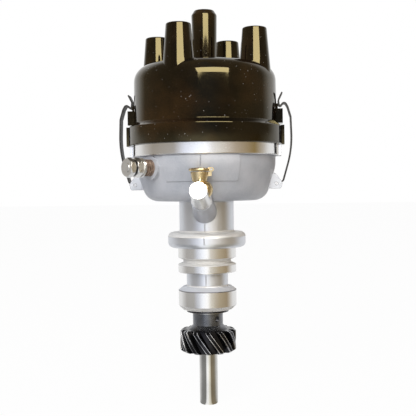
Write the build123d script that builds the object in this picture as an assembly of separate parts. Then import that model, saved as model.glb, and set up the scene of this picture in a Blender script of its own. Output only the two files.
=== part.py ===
from build123d import *
from math import atan2, cos, degrees, radians, sin, sqrt, tan
import os

# Ignition distributor: cast housing, moulded four-tower cap, shaft with drive gear.
# Millimetres. Origin on the shaft axis at the underside of the mounting flange, +Z up,
# X through the two cap clips, -Y toward the oiler boss.

# Fits and gaps
run_fit = 0.04
hinge_fit = 0.05
air_gap = 0.3
end_play = 0.2
edge = 0.6

# Shaft and its bushings
shaft_r = 5.94
pilot_step = 0.96
spindle_step = 1.94
pilot_length = 29.3
shaft_round = 1.1
bushing_wall = 2.06
bushing_step = 1.0
lower_bushing_length = 19.0
upper_bushing_length = 21.0
pilot_r = shaft_r - pilot_step
spindle_r = shaft_r - spindle_step
bushing_r = shaft_r + bushing_wall
oil_space_r = bushing_r - bushing_step

# Housing below the flange seat, which is at z = 0
land_r = 15.86
upper_land_height = 5.6
lower_land_height = 4.35
groove_depth = 2.76
groove_slope = 1.2
groove_floor = 1.35
waist_wall = 3.3
waist_height = 7.8
collar_bevel = 2.4
collar_head_height = 1.9
collar_height = 8.3
collar_foot_height = 2.2
groove_r = land_r - groove_depth
collar_shoulder_r = land_r - collar_bevel
groove_bottom = -upper_land_height - groove_floor - 2 * groove_slope
land_bottom = groove_bottom - lower_land_height
waist_r = bushing_r + waist_wall
collar_top = land_bottom - waist_height
collar_head = collar_top - collar_head_height
collar_foot = collar_head - collar_height
collar_bottom = collar_foot - collar_foot_height
lower_bushing_top = collar_bottom + lower_bushing_length

# Housing above the flange seat
flange_top = 8.3
flange_overhang = 5.34
flange_round = 2.7
neck_step = 0.96
neck_height = 16.9
cavity_r = 33.4
bowl_wall = 4.5
bowl_floor = 3.8
bowl_round = 8.5
bowl_taper = 5.7
bowl_taper_height = 18.4
ring_step = 1.85
ring_height = 6.0
spigot_wall = 1.8
spigot_height = 2.0
pad_step = 1.25
pad_width = 10.0
front_pad_rise = 0.5
front_pad_height = 13.6
front_pad_half_angle = 31.0
flange_r = land_r + flange_overhang
neck_r = land_r - neck_step
bowl_bottom = flange_top + neck_height
cavity_floor = bowl_bottom + bowl_floor
upper_bushing_bottom = cavity_floor - upper_bushing_length
bowl_taper_top = bowl_bottom + bowl_taper_height
bowl_r = cavity_r + bowl_wall
bowl_foot_r = bowl_r - bowl_taper
ring_r = bowl_r + ring_step
ring_pad_r = ring_r + pad_step
spigot_r = cavity_r + spigot_wall

# Advance mechanism, stacked on the bowl floor; its layout follows the bowl's inside
advance_lift = 4.0
advance_plate_thickness = 1.5
weight_thickness = 3.5
weight_pin_r = 2.0
weight_peg_r = 1.2
weight_swing = 20.0
yoke_lift = 0.7
yoke_thickness = 1.5
yoke_arm_width = 9.0
yoke_ear_width = 6.0
yoke_post_angle = -49.0
spring_r = 1.4
spring_post_r = 1.2
spring_post_height = 3.1
advance_plate_bottom = cavity_floor + advance_lift
advance_plate_top = advance_plate_bottom + advance_plate_thickness
weight_bottom = advance_plate_top + air_gap
weight_top = weight_bottom + weight_thickness
yoke_bottom = weight_top + yoke_lift
yoke_top = yoke_bottom + yoke_thickness
spring_post_top = yoke_top + spring_post_height
spring_z = (yoke_top + spring_post_top) / 2
advance_plate_r = 0.75 * cavity_r
weight_pivot_x = 0.51 * cavity_r
weight_elbow = (0.12 * cavity_r, 0.45 * cavity_r)
weight_tip = (-0.27 * cavity_r, 0.45 * cavity_r)
weight_peg = (0.15 * cavity_r, 0.43 * cavity_r)
weight_root_width = 0.3 * cavity_r
weight_tip_width = 0.33 * cavity_r
yoke_post_ring = 0.39 * cavity_r
plate_post = (0.63 * cavity_r, -0.285 * cavity_r)

# Breaker plate and points, laid out with the terminal on the local X axis
plate_lift = 0.4
plate_thickness = 1.2
plate_hole_r = 11.0
column_r = 2.9
column_inset = 1.2
column_angles = (160.0, 340.0)
screw_r = 1.2
screw_head_r = 2.0
screw_head_height = 1.4
screw_inset = 0.5
plate_screw_depth = 5.0
cam_lift = 1.8
cam_height = 8.0
cam_peak_r = 10.0
cam_rise = 1.7
pivot_r = 1.6
arm_lift = 0.8
arm_height = 5.2
arm_thickness = 1.6
contact_r = 2.0
contact_depth = 0.8
contact_gap = 0.45
bracket_thickness = 1.2
bracket_size = 10.0
block_width = 4.0
leaf = 0.4
condenser_nose = 1.5
band_thickness = 0.6
band_width = 6.0
foot_thickness = 0.8
lead_r = 0.7
plate_bottom = spring_post_top + plate_lift
plate_top = plate_bottom + plate_thickness
plate_r = cavity_r - air_gap
column_ring = cavity_r - column_inset
column_bottom = (bowl_bottom + bowl_taper_top) / 2
plate_screw_ring = cavity_r - screw_head_r - screw_inset
cam_bottom = plate_top + cam_lift
cam_top = cam_bottom + cam_height
cam_flat_r = cam_peak_r - cam_rise
arm_bottom = cam_bottom + arm_lift
arm_top = arm_bottom + arm_height
arm_middle = (arm_bottom + arm_top) / 2
pivot_x = 0.6 * cavity_r
pivot_y = 0.48 * cavity_r
arm_front = pivot_y - arm_thickness / 2
arm_back = pivot_y + arm_thickness / 2
contact_x = -0.36 * cavity_r
fixed_face = arm_front - 2 * contact_depth - contact_gap
condenser_r = 0.195 * cavity_r
condenser_y = -0.63 * cavity_r
condenser_start = -0.42 * cavity_r
condenser_end = 0.21 * cavity_r
condenser_z = plate_top + condenser_r + band_thickness
foot_end = -0.93 * cavity_r
spring_end_y = -0.09 * cavity_r
condenser_screw_y = foot_end + screw_head_r

# Cam sleeve and rotor
rotor_lift = 2.0
rotor_socket = 9.0
rotor_head = 7.4
rotor_wall = 3.9
rotor_arm_width = 12.0
sleeve_wall = 2.6
felt_wall = 1.2
shoulder_rise = 1.0
spindle_nose = 2.5
retainer_thickness = 1.0
blade_thickness = 1.2
blade_width = 7.0
contact_leaf = 0.6
contact_leaf_rise = 5.4
rotor_bottom = cam_top + rotor_lift
sleeve_top = rotor_bottom + rotor_socket
sleeve_shoulder = rotor_bottom + shoulder_rise
spindle_top = sleeve_shoulder + spindle_nose
rotor_top = sleeve_top + rotor_head
blade_top = rotor_top + blade_thickness
sleeve_r = spindle_r + sleeve_wall
felt_r = sleeve_r - felt_wall
rotor_r = sleeve_r + rotor_wall

# Cap, its towers and the terminals in it
rim_rise = 11.1
cap_wall = 2.9
cap_draft = 0.5
cap_rim_step = 3.0
cap_rim_height = 9.8
cap_ledge_rise = 2.2
cap_roof_thickness = 3.8
cap_roof_round = 5.5
cap_shoulder = 8.75
button_r = 3.0
button_free = 3.7
button_seat = 8.0
insert_cover = 2.5
insert_wall = 0.5
center_boss_wall = 2.8
tower_count = 4
tower_first_angle = 67.5
tower_inset = 8.8
tower_height = 18.0
tower_top_r = 6.45
tower_draft = 1.55
tower_round = 0.8
center_tower_rise = 12.05
center_tower_step = 0.45
center_tower_taper = 0.55
center_tower_bevel = 1.5
center_tower_bevel_height = 2.4
socket_r = 4.4
socket_depth = 16.0
plug_insert_r = 2.5
plug_insert_drop = 0.9
plug_insert_free = 4.5
plug_boss_wall = 1.7
spark_gap = 0.7
lug_step = 3.1
lug_overlap = 0.5
lug_height = 7.7
lug_web_height = 2.7
cap_pad_step = 0.9
rim_top = plate_bottom + rim_rise
ring_bottom = rim_top - ring_height
front_pad_bottom = ring_bottom - front_pad_height
front_pad_r = bowl_r + front_pad_rise
front_pad_foot_r = front_pad_r - bowl_taper * (bowl_taper_top - front_pad_bottom) / bowl_taper_height
cap_inner_r = spigot_r + air_gap
cap_wall_head_r = cap_inner_r + cap_wall
cap_wall_foot_r = cap_wall_head_r + cap_draft
cap_rim_r = cap_wall_foot_r + cap_rim_step
cap_ledge_outer = rim_top + cap_rim_height
cap_ledge_inner = cap_ledge_outer + cap_ledge_rise
button_bottom = blade_top + contact_leaf_rise + air_gap
center_boss_bottom = button_bottom + button_free
center_insert_bottom = center_boss_bottom + button_seat
center_insert_r = button_r + insert_wall
center_boss_r = button_r + center_boss_wall
cap_roof = center_insert_bottom + insert_cover
cap_top = cap_roof + cap_roof_thickness
tower_pitch_r = cap_wall_head_r - tower_inset
tower_root = cap_top - cap_shoulder
tower_top = cap_top + tower_height
tower_base_r = tower_top_r + tower_draft
center_tower_top = tower_top + center_tower_rise
center_tower_r = tower_top_r + center_tower_step
plug_insert_bottom = rotor_top - plug_insert_drop
plug_boss_bottom = plug_insert_bottom + plug_insert_free
plug_boss_r = plug_insert_r + plug_boss_wall
blade_tip = tower_pitch_r - plug_insert_r - spark_gap
rotor_angle = tower_first_angle
lug_root_r = (cap_inner_r + cap_wall_head_r) / 2
lug_r = cap_wall_foot_r + lug_step
lug_bottom = cap_ledge_inner - lug_overlap
lug_top = lug_bottom + lug_height
lug_web_r = cap_wall_foot_r + lug_overlap
lug_web_top = lug_top + lug_web_height
cap_pad_r = cap_rim_r + cap_pad_step
cap_pad_top = cap_ledge_outer + edge

# Clips and their ears; the clip's upper bends are (out, up) from the top corner of the cap's lug
clip_pin_r = 0.9
clip_pin_out = 0.3
clip_pin_rise = 8.9
clip_width = 7.0
clip_thickness = 0.85
clip_curl_r = 1.6
clip_heel_out = 3.8
clip_heel_up = 1.5
clip_bow = 5.0
clip_bow_round = 55.0
clip_shoulder = (4.3, -4.3)
clip_cheek = (2.7, 1.1)
clip_crown = (0.9, 4.3)
clip_hook = (-1.8, 0.55)
clip_hook_round = 0.75
clip_nape = (-2.25, 4.8)
clip_tab = (-0.4, 8.6)
ear_thickness = 2.2
ear_drop = 2.7
ear_reach = 3.2
ear_rise = 5.6
clip_pin_x = bowl_r + clip_pin_out
clip_pin_z = bowl_bottom + clip_pin_rise
ear_inner_y = clip_width / 2 + air_gap
ear_outer_y = ear_inner_y + ear_thickness
ear_bottom = clip_pin_z - ear_drop
ear_tip_x = clip_pin_x + ear_reach
ear_top = clip_pin_z + ear_rise

# Primary terminal, on a radius of the bowl
terminal_angle = 225.0
terminal_drop = 1.2
stud_r = 2.4
stud_head_r = 4.0
stud_head_height = 2.2
stud_stick_out = 0.3
insulator_r = 4.3
insulator_spigot_r = 3.4
insulator_length = 5.5
insulator_rib = 0.5
insulator_ribs = 4
inner_insulator_thickness = 2.0
terminal_pad_step = 2.0
terminal_pad_rise = 0.4
terminal_washer_r = 5.0
terminal_washer_thickness = 1.0
lock_washer_r = 4.2
lock_washer_thickness = 1.3
nut_flats = 9.0
nut_corner = 0.6
inner_nut_height = 3.9
outer_nut_height = 3.0
strap_thickness = 0.8
strap_width = 10.0
plate_notch_gap = 2.0
terminal_z = plate_bottom - terminal_drop
terminal_pad_r = insulator_r + terminal_pad_step
terminal_pad_face = bowl_r + terminal_pad_rise
insulator_end = terminal_pad_face + insulator_length
terminal_washer_end = insulator_end + terminal_washer_thickness
inner_nut_end = terminal_washer_end + inner_nut_height
lock_washer_end = inner_nut_end + lock_washer_thickness
outer_nut_end = lock_washer_end + outer_nut_height
stud_end = outer_nut_end + stud_stick_out
inner_insulator_face = sqrt(cavity_r**2 - terminal_washer_r**2) - run_fit
inner_insulator_start = inner_insulator_face - inner_insulator_thickness
strap_start = inner_insulator_start - strap_thickness
stud_head_start = strap_start - stud_head_height

# Inclined boss, stub and oil cup in front
boss_tilt = 15.0
boss_rise = 7.7
boss_root_depth = 5.4
boss_inset = 0.6
boss_root_r = 6.6
boss_rim_r = 5.3
stub_length = 20.2
stub_step = 0.4
stub_taper = 0.7
stub_spigot_step = 1.4
stub_spigot_length = 10.3
cup_offset = 7.1
saddle_step = 0.3
saddle_x = 1.9
saddle_rise = 3.1
cup_rise = 4.1
cup_r = 4.45
cup_height = 4.7
cup_taper = 0.75
cup_wall = 1.25
cup_floor_thickness = 0.6
cup_neck_r = 3.0
lid_overhang = 0.95
lid_height = 2.0
knuckle_r = 1.1
lid_pin_r = 0.5
boss_axis_height = flange_top + boss_rise
boss_start = neck_r - boss_root_depth
boss_end = bowl_r - boss_inset
stub_root_r = boss_rim_r - stub_step
stub_tip_r = stub_root_r - stub_taper
stub_spigot_r = stub_root_r - stub_spigot_step
stub_spigot_start = boss_end - stub_spigot_length
stub_end = boss_end + stub_length
cup_distance = bowl_r + cup_offset
cup_stub_z = boss_axis_height + cup_distance * tan(radians(boss_tilt))
saddle_r = stub_root_r - saddle_step
saddle_z = cup_stub_z + saddle_rise
cup_bottom = saddle_z + cup_rise
cup_top = cup_bottom + cup_height
cup_floor = cup_bottom + cup_floor_thickness
cup_hollow_r = cup_r - cup_wall
lid_r = cup_r + lid_overhang
lid_bottom = cup_top + air_gap
lid_top = lid_bottom + lid_height
lid_hinge_x = lid_r + edge
lid_hinge_z = cup_top + knuckle_r
lid_ear_inner = knuckle_r + air_gap
lid_ear_outer = lid_ear_inner + knuckle_r

# Drive gear and the washers above it
thrust_washer_wall = 5.56
thrust_washer_thickness = 1.15
shim_wall = 4.26
shim_thickness = 0.4
hub_wall = 2.32
hub_length = 9.3
hub_fillet = 2.4
gear_width = 12.0
gear_teeth = 13
gear_clearance = 0.56
tooth_depth = 3.1
tooth_root_share = 0.62
tooth_tip_share = 0.3
gear_twist = -32.5
gear_bevel = 1.0
gear_pin_r = 1.6
gear_pin_drop = 3.3
gear_pin_angle = 311.0
gear_pin_recess = 1.4
thrust_washer_r = shaft_r + thrust_washer_wall
thrust_washer_top = collar_bottom - end_play
thrust_washer_bottom = thrust_washer_top - thrust_washer_thickness
shim_r = shaft_r + shim_wall
hub_r = shaft_r + hub_wall
hub_top = thrust_washer_bottom - shim_thickness
gear_top = hub_top - hub_length
gear_bottom = gear_top - gear_width
gear_tip_r = land_r - gear_clearance
gear_root_r = gear_tip_r - tooth_depth
gear_pin_z = hub_top - gear_pin_drop
gear_pin_half = hub_r - gear_pin_recess
shaft_bottom = gear_bottom - pilot_length


def rounded_edges(corners, closed):
    """Lines and arcs through corners given as (u, v) or (u, v, rounding)."""
    points = [Vector(corner[0], corner[1]) for corner in corners]
    edges = []
    starts = []
    ends = []
    arcs = []
    for i, corner in enumerate(corners):
        here = points[i]
        rounding = corner[2] if len(corner) > 2 else 0
        if rounding == 0:
            starts.append(here)
            ends.append(here)
            arcs.append(None)
            continue
        back = (points[i - 1] - here).normalized()
        ahead = (points[(i + 1) % len(points)] - here).normalized()
        half = radians(back.get_angle(ahead) / 2)
        inward = (back + ahead).normalized()
        starts.append(here + back * (rounding / tan(half)))
        ends.append(here + ahead * (rounding / tan(half)))
        middle = here + inward * (rounding / sin(half) - rounding)
        arcs.append(ThreePointArc(starts[i], middle, ends[i]).edge())
    for i in range(len(points)):
        if arcs[i] is not None:
            edges.append(arcs[i])
        if i + 1 == len(points) and not closed:
            break
        following = starts[(i + 1) % len(points)]
        if (following - ends[i]).length > 1e-4:
            edges.append(Line(ends[i], following).edge())
    return edges


def outline(corners):
    return Face(Wire(rounded_edges(corners, True)))


def turned(corners):
    """Solid of revolution about Z from (radius, height) corners."""
    return revolve(Plane.XZ * outline(corners), Axis.Z)


def plate(corners, bottom, top):
    return Pos(0, 0, bottom) * extrude(outline(corners), amount=top - bottom)


def cylinder(radius, bottom, top):
    return Pos(0, 0, bottom) * Cylinder(radius, top - bottom, align=(Align.CENTER, Align.CENTER, Align.MIN))


def ring(outer, inner, bottom, top):
    return cylinder(outer, bottom, top) - cylinder(inner, bottom, top)


def block(x0, x1, y0, y1, z0, z1):
    return Pos((x0 + x1) / 2, (y0 + y1) / 2, (z0 + z1) / 2) * Box(x1 - x0, y1 - y0, z1 - z0)


def heading(x, y):
    return degrees(atan2(y, x))


def bar(x0, y0, x1, y1, width, bottom, top):
    """Flat bar with round ends between two points."""
    body = cylinder(width / 2, bottom, top)
    length = Vector(x1 - x0, y1 - y0).length
    middle = block(0, length, -width / 2, width / 2, bottom, top)
    return Pos(x0, y0, 0) * Rot(0, 0, heading(x1 - x0, y1 - y0)) * (body + middle + Pos(length, 0, 0) * body)


def hexagon(flats, bottom, top):
    return Pos(0, 0, bottom) * extrude(RegularPolygon(flats / 2, 6, major_radius=False), amount=top - bottom)


def screw(shank_length):
    """Pan-head screw, underside of the head at z = 0."""
    return cylinder(screw_head_r, 0, screw_head_height) + cylinder(screw_r, -shank_length, 0)


def along_y(radius, x, z, y0, y1):
    return Pos(x, y0, z) * Rot(-90, 0, 0) * cylinder(radius, 0, y1 - y0)


def on_terminal(shape):
    """Turns a shape made along +Z so that it lies along the terminal's radius."""
    return Rot(0, 0, terminal_angle) * Pos(0, 0, terminal_z) * Rot(0, 90, 0) * shape


def on_boss(shape):
    """Turns a shape made along +Z so that it lies along the inclined boss."""
    return Pos(0, 0, boss_axis_height) * Rot(90 - boss_tilt, 0, 0) * shape


def on_plate(shape):
    """Turns the breaker layout so that its X axis points at the terminal."""
    return Rot(0, 0, terminal_angle) * shape


def around(shape, count, first_angle=0):
    return [Rot(0, 0, first_angle + i * 360 / count) * shape for i in range(count)]


def housing_outside():
    return turned([
        (0, collar_bottom), (collar_shoulder_r, collar_bottom), (land_r, collar_foot), (land_r, collar_head),
        (collar_shoulder_r, collar_top), (waist_r, collar_top, edge), (waist_r, land_bottom, edge),
        (land_r, land_bottom, edge), (land_r, groove_bottom), (groove_r, groove_bottom + groove_slope),
        (groove_r, -upper_land_height - groove_slope), (land_r, -upper_land_height), (land_r, 0),
        (flange_r, 0, flange_round), (flange_r, flange_top, flange_round), (neck_r, flange_top, edge),
        (neck_r, bowl_bottom, edge), (bowl_foot_r, bowl_bottom, bowl_round),
        (bowl_r, bowl_taper_top, 2 * bowl_round), (bowl_r, ring_bottom),
        (ring_r, ring_bottom, edge), (ring_r, rim_top), (spigot_r, rim_top),
        (spigot_r, rim_top + spigot_height), (0, rim_top + spigot_height),
    ])


def housing_inside():
    return turned([
        (0, collar_bottom), (bushing_r, collar_bottom), (bushing_r, lower_bushing_top),
        (oil_space_r, lower_bushing_top), (oil_space_r, upper_bushing_bottom),
        (bushing_r, upper_bushing_bottom), (bushing_r, cavity_floor), (cavity_r, cavity_floor, bowl_round),
        (cavity_r, rim_top + spigot_height), (0, rim_top + spigot_height),
    ])


def front_pad():
    reach = 2 * bowl_r
    side = reach * tan(radians(front_pad_half_angle))
    wedge = plate([(0, 0), (-side, -reach), (side, -reach)], front_pad_bottom, ring_bottom)
    return wedge & turned([
        (0, front_pad_bottom), (front_pad_foot_r, front_pad_bottom),
        (front_pad_r, bowl_taper_top, 2 * bowl_round), (front_pad_r, ring_bottom), (0, ring_bottom),
    ])


def clip_ears():
    ear = Plane.XZ * outline([
        (cavity_r, ear_bottom), (ear_tip_x - edge, ear_bottom, 2 * edge),
        (ear_tip_x, clip_pin_z + edge, 2 * edge), (clip_pin_x - edge, ear_top, edge), (cavity_r, ear_top),
    ])
    one = extrude(ear, amount=ear_thickness)
    pair = Pos(0, -ear_inner_y, 0) * one + Pos(0, ear_outer_y, 0) * one
    return around(pair - along_y(clip_pin_r, clip_pin_x, clip_pin_z, -ear_outer_y, ear_outer_y), 2)


def cone_from(start, end, start_r, end_r):
    return Pos(0, 0, start) * Cone(start_r, end_r, end - start, align=(Align.CENTER, Align.CENTER, Align.MIN))


def at_columns(shape, distance):
    return [Rot(0, 0, angle) * Pos(distance, 0, 0) * shape for angle in column_angles]


def make_housing():
    body = housing_outside()
    body += front_pad()
    body += around(block(cavity_r, ring_pad_r, -pad_width / 2, pad_width / 2, ring_bottom, rim_top), 2)
    body += clip_ears()
    body += on_boss(cone_from(boss_start, boss_end, boss_root_r, boss_rim_r))
    body += on_terminal(cylinder(terminal_pad_r, cavity_r, terminal_pad_face))
    body -= housing_inside()
    wall = cylinder(cavity_r + bowl_wall / 4, column_bottom, plate_bottom)
    column = cylinder(column_r, column_bottom, plate_bottom)
    body += [placed & wall for placed in at_columns(column, column_ring)]
    body -= on_terminal(cylinder(insulator_spigot_r, inner_insulator_start, terminal_pad_face))
    body -= make_front_stub()
    body -= at_columns(cylinder(screw_r, plate_bottom - plate_screw_depth, plate_bottom), plate_screw_ring)
    return body


def make_bushing(bottom, top):
    return ring(bushing_r, shaft_r + run_fit, bottom, top)


def make_front_stub():
    visible = cone_from(boss_end, stub_end, stub_root_r, stub_tip_r)
    return on_boss(visible + cylinder(stub_spigot_r, stub_spigot_start, boss_end))


def make_oiler_body(stub):
    """Brass cup on a saddle that wraps the upper right of the stub."""
    saddle = Pos(saddle_x, 0, saddle_z) * Sphere(saddle_r)
    cup = turned([
        (0, cup_stub_z), (cup_neck_r, cup_stub_z), (cup_neck_r, cup_bottom),
        (cup_r - cup_taper, cup_bottom, edge / 2), (cup_r, cup_top - edge), (cup_r, cup_top),
        (cup_hollow_r, cup_top), (cup_hollow_r, cup_floor), (0, cup_floor),
    ])
    lug = block(cup_hollow_r, lid_hinge_x, -knuckle_r, knuckle_r, cup_top - 2 * knuckle_r, lid_hinge_z)
    lug += along_y(knuckle_r, lid_hinge_x, lid_hinge_z, -knuckle_r, knuckle_r)
    lug -= block(0, lid_hinge_x - knuckle_r, -knuckle_r, knuckle_r, cup_top, lid_top)
    lug -= cylinder(cup_hollow_r, cup_floor, lid_top)
    body = saddle + cup + lug
    body -= cylinder(cup_hollow_r, cup_floor, lid_top)
    body -= along_y(lid_pin_r, lid_hinge_x, lid_hinge_z, -knuckle_r, knuckle_r)
    return Pos(0, -cup_distance, 0) * body - stub


def make_oiler_lid():
    lid = turned([(0, lid_bottom), (lid_r, lid_bottom, edge), (lid_r, lid_top - edge, edge), (0, lid_top)])
    lid += block(cup_r, lid_hinge_x, -lid_ear_outer, lid_ear_outer, lid_bottom, lid_hinge_z + knuckle_r)
    lid += along_y(knuckle_r, lid_hinge_x, lid_hinge_z, -lid_ear_outer, lid_ear_outer)
    lid -= block(lid_hinge_x - lid_ear_inner, lid_hinge_x + 2 * knuckle_r, -lid_ear_inner, lid_ear_inner,
                 cup_top, lid_top + knuckle_r)
    lid -= along_y(lid_pin_r + hinge_fit, lid_hinge_x, lid_hinge_z, -lid_ear_outer, lid_ear_outer)
    return Pos(0, -cup_distance, 0) * lid


def make_oiler_pin():
    half = lid_ear_outer + air_gap
    return Pos(0, -cup_distance, 0) * along_y(lid_pin_r, lid_hinge_x, lid_hinge_z, -half, half)


def make_clip_pins():
    half = ear_outer_y + air_gap
    return around(along_y(clip_pin_r, clip_pin_x, clip_pin_z, -half, half), 2)


def from_lug(bend, rounding=0):
    return (lug_r + bend[0], lug_top + bend[1], rounding)


def make_clip():
    """Right-hand spring clip: curl on the pin, bowed leg, hook over the cap lug, finger tab."""
    heel_z = clip_pin_z + clip_heel_up
    bow_z = (heel_z + lug_top + clip_shoulder[1]) / 2
    path = rounded_edges([
        (clip_pin_x + clip_curl_r / 2, clip_pin_z), (clip_pin_x + clip_heel_out, heel_z, clip_curl_r),
        (cap_rim_r + clip_bow, bow_z, clip_bow_round), from_lug(clip_shoulder, 2 * clip_thickness),
        from_lug(clip_cheek, 2 * clip_thickness), from_lug(clip_crown, 1.5 * clip_thickness),
        from_lug(clip_hook, clip_hook_round), from_lug(clip_nape, 2 * clip_thickness), from_lug(clip_tab),
    ], False)
    strip = offset(Wire(path), amount=clip_thickness / 2, side=Side.BOTH)
    leg = extrude(Plane.XZ * Face(strip.wire()), amount=clip_width / 2, both=True)
    leg += along_y(clip_curl_r, clip_pin_x, clip_pin_z, -clip_width / 2, clip_width / 2)
    return leg - along_y(clip_pin_r + hinge_fit, clip_pin_x, clip_pin_z, -clip_width / 2, clip_width / 2)


def cap_outside():
    return turned([
        (0, rim_top), (cap_rim_r, rim_top, edge), (cap_rim_r, cap_ledge_outer, edge),
        (cap_wall_foot_r, cap_ledge_inner, edge), (cap_wall_head_r, cap_top, cap_shoulder), (0, cap_top),
    ])


def cap_inside():
    return turned([
        (0, rim_top), (cap_inner_r, rim_top), (cap_inner_r, cap_roof, cap_roof_round), (0, cap_roof),
    ])


def plug_tower():
    draft = tower_draft / tower_height
    root_r = tower_base_r + draft * (cap_top - tower_root)
    return turned([
        (0, tower_root), (root_r, tower_root), (tower_top_r, tower_top, tower_round), (0, tower_top),
    ])


def center_tower():
    lip_r = center_tower_r - center_tower_bevel
    return turned([
        (0, cap_roof), (center_tower_r - center_tower_taper, cap_roof),
        (center_tower_r, center_tower_top - center_tower_bevel_height, center_tower_bevel),
        (lip_r, center_tower_top, edge / 2), (0, center_tower_top),
    ])


def cap_lug():
    half = pad_width / 2
    lug = block(lug_root_r, lug_r, -half, half, lug_bottom, lug_top)
    web = block(lug_root_r, lug_web_r, -half, half, lug_top, lug_web_top)
    pad = block(lug_root_r, cap_pad_r, -half, half, rim_top, cap_pad_top)
    return lug + web + pad


def make_cap():
    body = cap_outside()
    body += around(Pos(tower_pitch_r, 0, 0) * plug_tower(), tower_count, tower_first_angle)
    body += center_tower()
    body += around(cap_lug(), 2)
    body -= cap_inside()
    plug_boss = Pos(tower_pitch_r, 0, 0) * cylinder(plug_boss_r, plug_boss_bottom, cap_roof + edge)
    body += around(plug_boss, tower_count, tower_first_angle)
    body += cylinder(center_boss_r, center_boss_bottom, cap_roof + edge)
    socket_floor = tower_top - socket_depth
    plug_hole = cylinder(socket_r, socket_floor, tower_top)
    plug_hole += cylinder(plug_insert_r, plug_boss_bottom, socket_floor)
    body -= around(Pos(tower_pitch_r, 0, 0) * plug_hole, tower_count, tower_first_angle)
    center_floor = center_tower_top - socket_depth
    body -= cylinder(socket_r, center_floor, center_tower_top)
    body -= cylinder(center_insert_r, center_insert_bottom, center_floor)
    body -= cylinder(button_r, center_boss_bottom, center_insert_bottom)
    return body


def make_plug_terminals():
    insert = cylinder(plug_insert_r, plug_insert_bottom, tower_top - socket_depth)
    return around(Pos(tower_pitch_r, 0, 0) * insert, tower_count, tower_first_angle)


def make_insulator():
    body = cylinder(insulator_r, terminal_pad_face, insulator_end)
    rib_step = insulator_length / insulator_ribs
    for i in range(1, insulator_ribs):
        middle = terminal_pad_face + i * rib_step
        body -= ring(insulator_r, insulator_r - insulator_rib, middle - rib_step / 5, middle + rib_step / 5)
    body += cylinder(insulator_spigot_r, inner_insulator_face, terminal_pad_face)
    return on_terminal(body - cylinder(stud_r, inner_insulator_face, insulator_end))


def make_stud():
    head = cylinder(stud_head_r, stud_head_start, strap_start)
    return on_terminal(head + cylinder(stud_r, strap_start, stud_end))


def make_terminal_ring(radius, start, end):
    return on_terminal(ring(radius, stud_r, start, end))


def make_terminal_nut(start, end):
    flat_r = nut_flats / 2
    corner_r = flat_r + nut_corner
    blank = turned([(0, start), (flat_r, start), (corner_r, start + nut_corner), (corner_r, end - nut_corner),
                    (flat_r, end), (0, end)])
    return on_terminal((hexagon(nut_flats, start, end) & blank) - cylinder(stud_r, start, end))


def make_primary_strap():
    half = strap_width / 2
    strap = block(strap_start, inner_insulator_start, -half, half, terminal_z - stud_head_r, arm_top)
    return on_plate(strap) - on_terminal(cylinder(stud_r, strap_start, inner_insulator_start))


def make_breaker_plate():
    body = ring(plate_r, plate_hole_r, plate_bottom, plate_top)
    half = terminal_washer_r + plate_notch_gap
    body -= on_plate(block(stud_head_start - plate_notch_gap, cavity_r, -half, half, plate_bottom, plate_top))
    body -= at_columns(cylinder(screw_r, plate_bottom, plate_top), plate_screw_ring)
    return body


def make_breaker_plate_screws():
    return at_columns(Pos(0, 0, plate_top) * screw(plate_thickness + plate_screw_depth), plate_screw_ring)


def make_breaker_pivot():
    return on_plate(Pos(pivot_x, pivot_y, 0) * cylinder(pivot_r, plate_top, arm_top + edge))


def make_breaker_arm():
    arm = block(contact_x - contact_r - edge, pivot_x, arm_front, arm_back, arm_bottom, arm_top)
    arm += Pos(pivot_x, pivot_y, 0) * cylinder(2 * pivot_r, arm_bottom, arm_top)
    return on_plate(arm - Pos(pivot_x, pivot_y, 0) * cylinder(pivot_r + hinge_fit, arm_bottom, arm_top))


def make_rubbing_block():
    half = block_width / 2
    return on_plate(block(-half, half, cam_peak_r + air_gap, arm_front, arm_bottom, arm_top))


def make_contact_point(face_y):
    return on_plate(along_y(contact_r, contact_x, arm_middle, face_y, face_y + contact_depth))


def at_contact_screw(shape):
    return Pos(contact_x - 0.6 * bracket_size, fixed_face - 0.6 * bracket_size, 0) * shape


def make_fixed_contact():
    half = contact_r + edge
    seat = plate_top + bracket_thickness
    back = fixed_face - bracket_thickness
    upright = block(contact_x - half, contact_x + half, back, fixed_face, plate_top, arm_top)
    foot = block(contact_x - bracket_size, contact_x, fixed_face - bracket_size, fixed_face, plate_top, seat)
    return on_plate(upright + foot - at_contact_screw(cylinder(screw_r, plate_top, seat)))


def make_contact_screw():
    seat = plate_top + bracket_thickness
    return on_plate(at_contact_screw(Pos(0, 0, seat) * screw(bracket_thickness)))


def make_breaker_spring():
    """Leaf from the back of the arm, round the pivot, to the terminal strap."""
    back = arm_back + leaf / 2
    strap_face = strap_start - leaf / 2
    path = rounded_edges([
        (0.06 * cavity_r, back), (0.36 * cavity_r, back, 0.36 * cavity_r),
        (0.72 * cavity_r, back + 0.135 * cavity_r, 0.15 * cavity_r),
        (strap_face, 0.3 * cavity_r, 0.24 * cavity_r), (strap_face, spring_end_y),
    ], False)
    strip = Face(offset(Wire(path), amount=leaf / 2, side=Side.BOTH).wire())
    return on_plate(Pos(0, 0, arm_bottom + leaf) * extrude(strip, amount=arm_height - 2 * leaf))


def condenser_axis(shape):
    """Lays a shape made along +Z on the breaker plate, along the condenser."""
    return on_plate(Pos(0, condenser_y, condenser_z) * Rot(0, 90, 0) * shape)


def make_condenser():
    can = cylinder(condenser_r, condenser_start, condenser_end)
    return condenser_axis(can + cylinder(condenser_nose, condenser_end, condenser_end + condenser_nose))


def at_condenser_screw(shape):
    return on_plate(Pos(-band_width / 2, condenser_screw_y, 0) * shape)


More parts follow.
